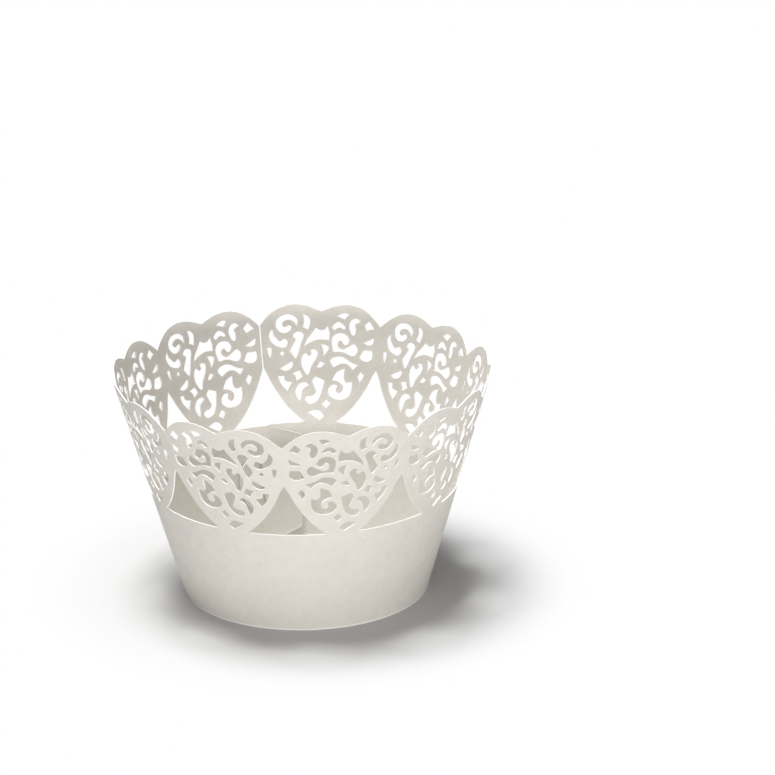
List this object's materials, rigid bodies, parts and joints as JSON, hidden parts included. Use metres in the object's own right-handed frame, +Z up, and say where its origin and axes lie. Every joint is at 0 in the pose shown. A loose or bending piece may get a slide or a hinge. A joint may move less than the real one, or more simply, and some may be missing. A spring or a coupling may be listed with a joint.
{
  "type": "cupcake wrapper",
  "caption": "Open flared paper sleeve for a cupcake: a plain band with a ring of joined filigree hearts standing on it.",
  "frame": {"origin": "centre of the foot ring, on the table", "axes": "+Z up along the sleeve's axis; one heart faces -Y and the tab closure is at +Y"},
  "size_m": [0.0842, 0.0841, 0.0516],
  "materials": {
    "card": "pearlescent, satin"
  },
  "bodies": {
    "root": {"wrapper": "card"}
  },
  "joints": []
}
